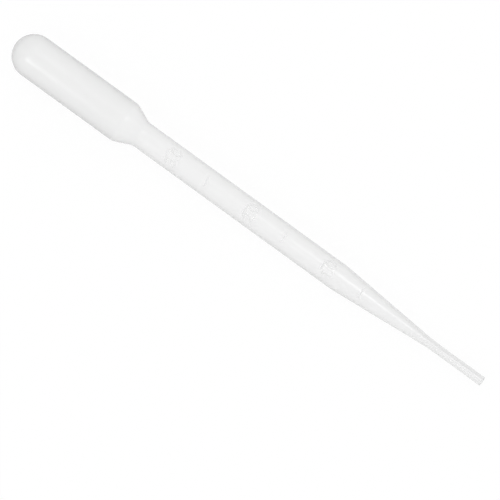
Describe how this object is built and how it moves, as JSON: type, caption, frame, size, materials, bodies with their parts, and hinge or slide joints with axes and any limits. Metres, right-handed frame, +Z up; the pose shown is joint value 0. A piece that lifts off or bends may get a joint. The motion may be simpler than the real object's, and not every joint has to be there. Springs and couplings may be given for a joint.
{
  "type": "dropper pipette",
  "caption": "Soft plastic dropper pipette: a round-ended squeeze bulb, a straight stem with raised volume marks, and a tapered neck drawn down to a thin open tip.",
  "frame": {"origin": "on the floor that the pipette lies on, below the middle of its length", "axes": "+X along the pipette, from the bulb towards the tip; +Z up, through the raised marks; +Y across"},
  "size_m": [0.16, 0.0126, 0.0135],
  "materials": {
    "polyethylene": "milky, see-through, with a soft satin sheen"
  },
  "bodies": {
    "root": {"pipette": "polyethylene"}
  },
  "joints": []
}
